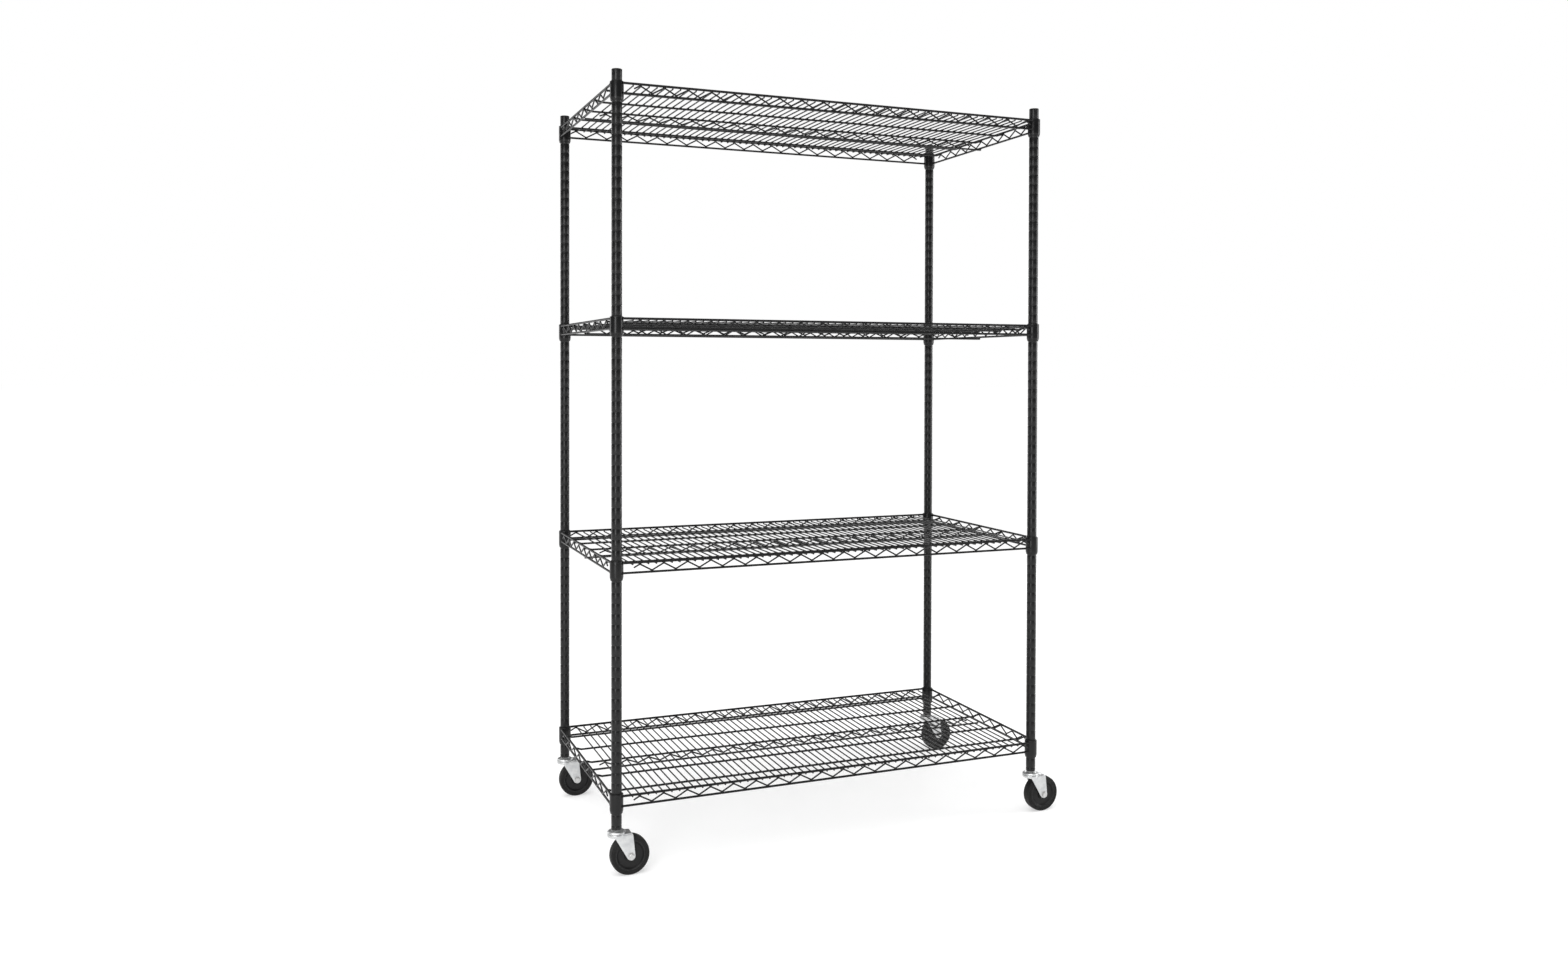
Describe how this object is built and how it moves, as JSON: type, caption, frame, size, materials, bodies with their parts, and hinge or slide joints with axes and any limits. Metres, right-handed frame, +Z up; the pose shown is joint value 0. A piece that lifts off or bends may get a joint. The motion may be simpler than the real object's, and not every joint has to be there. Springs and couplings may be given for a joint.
{
  "type": "wire shelving rack",
  "caption": "Tall black wire shelving rack with welded wire shelves clipped to grooved tube posts, rolling on swivel stem casters.",
  "frame": {"origin": "centre of the bounding box at floor level, with all four casters trailing towards +X; the rack's own centre is 29 mm towards -X of it", "axes": "+Z up, +X right along the long side, -Y the front face"},
  "size_m": [1.27, 0.632, 1.929],
  "materials": {
    "powder_coat": "glossy black powder coat",
    "black_plastic": "satin black plastic",
    "zinc": "bright zinc plate",
    "bolt_zinc": "zinc plated fastener",
    "wheel_plastic": "moulded black plastic",
    "tyre": "satin black rubber"
  },
  "bodies": {
    "rack": {"post_front_left": "powder_coat", "post_front_right": "powder_coat", "post_back_left": "powder_coat", "post_back_right": "powder_coat", "post_caps": "black_plastic", "post_foot_inserts": "black_plastic", "shelf_1_rim_rails": "powder_coat", "shelf_1_rim_trusses": "powder_coat", "shelf_1_support_wires": "powder_coat", "shelf_1_centre_truss": "powder_coat", "shelf_1_deck_wires": "powder_coat", "shelf_1_corner_collars": "powder_coat", "shelf_1_split_sleeves": "black_plastic", "shelf_2_rim_rails": "powder_coat", "shelf_2_rim_trusses": "powder_coat", "shelf_2_support_wires": "powder_coat", "shelf_2_centre_truss": "powder_coat", "shelf_2_deck_wires": "powder_coat", "shelf_2_corner_collars": "powder_coat", "shelf_2_split_sleeves": "black_plastic", "shelf_3_rim_rails": "powder_coat", "shelf_3_rim_trusses": "powder_coat", "shelf_3_support_wires": "powder_coat", "shelf_3_centre_truss": "powder_coat", "shelf_3_deck_wires": "powder_coat", "shelf_3_corner_collars": "powder_coat", "shelf_3_split_sleeves": "black_plastic", "shelf_4_rim_rails": "powder_coat", "shelf_4_rim_trusses": "powder_coat", "shelf_4_support_wires": "powder_coat", "shelf_4_centre_truss": "powder_coat", "shelf_4_deck_wires": "powder_coat", "shelf_4_corner_collars": "powder_coat", "shelf_4_split_sleeves": "black_plastic", "caster_front_left_stem": "zinc", "caster_front_right_stem": "zinc", "caster_back_left_stem": "zinc", "caster_back_right_stem": "zinc"},
    "swivel_front_left": {"caster_front_left_fork": "zinc", "caster_front_left_axle_bolt": "bolt_zinc", "caster_front_left_axle_bush": "bolt_zinc"},
    "wheel_front_left": {"caster_front_left_wheel_core": "wheel_plastic", "caster_front_left_tyre": "tyre"},
    "swivel_front_right": {"caster_front_right_fork": "zinc", "caster_front_right_axle_bolt": "bolt_zinc", "caster_front_right_axle_bush": "bolt_zinc"},
    "wheel_front_right": {"caster_front_right_wheel_core": "wheel_plastic", "caster_front_right_tyre": "tyre"},
    "swivel_back_left": {"caster_back_left_fork": "zinc", "caster_back_left_axle_bolt": "bolt_zinc", "caster_back_left_axle_bush": "bolt_zinc"},
    "wheel_back_left": {"caster_back_left_wheel_core": "wheel_plastic", "caster_back_left_tyre": "tyre"},
    "swivel_back_right": {"caster_back_right_fork": "zinc", "caster_back_right_axle_bolt": "bolt_zinc", "caster_back_right_axle_bush": "bolt_zinc"},
    "wheel_back_right": {"caster_back_right_wheel_core": "wheel_plastic", "caster_back_right_tyre": "tyre"}
  },
  "joints": [
    {"name": "swivel_front_left_turn", "type": "hinge", "parent": "rack", "child": "swivel_front_left", "pos_m": [-0.613, -0.292, 0.103], "axis": [0, 0, 1], "continuous": true},
    {"name": "wheel_front_left_roll", "type": "hinge", "parent": "swivel_front_left", "child": "wheel_front_left", "pos_m": [-0.581, -0.292, 0.048], "axis": [0, 1, 0], "continuous": true},
    {"name": "swivel_front_right_turn", "type": "hinge", "parent": "rack", "child": "swivel_front_right", "pos_m": [0.555, -0.292, 0.103], "axis": [0, 0, 1], "continuous": true},
    {"name": "wheel_front_right_roll", "type": "hinge", "parent": "swivel_front_right", "child": "wheel_front_right", "pos_m": [0.587, -0.292, 0.048], "axis": [0, 1, 0], "continuous": true},
    {"name": "swivel_back_left_turn", "type": "hinge", "parent": "rack", "child": "swivel_back_left", "pos_m": [-0.613, 0.292, 0.103], "axis": [0, 0, 1], "continuous": true},
    {"name": "wheel_back_left_roll", "type": "hinge", "parent": "swivel_back_left", "child": "wheel_back_left", "pos_m": [-0.581, 0.292, 0.048], "axis": [0, 1, 0], "continuous": true},
    {"name": "swivel_back_right_turn", "type": "hinge", "parent": "rack", "child": "swivel_back_right", "pos_m": [0.555, 0.292, 0.103], "axis": [0, 0, 1], "continuous": true},
    {"name": "wheel_back_right_roll", "type": "hinge", "parent": "swivel_back_right", "child": "wheel_back_right", "pos_m": [0.587, 0.292, 0.048], "axis": [0, 1, 0], "continuous": true}
  ]
}
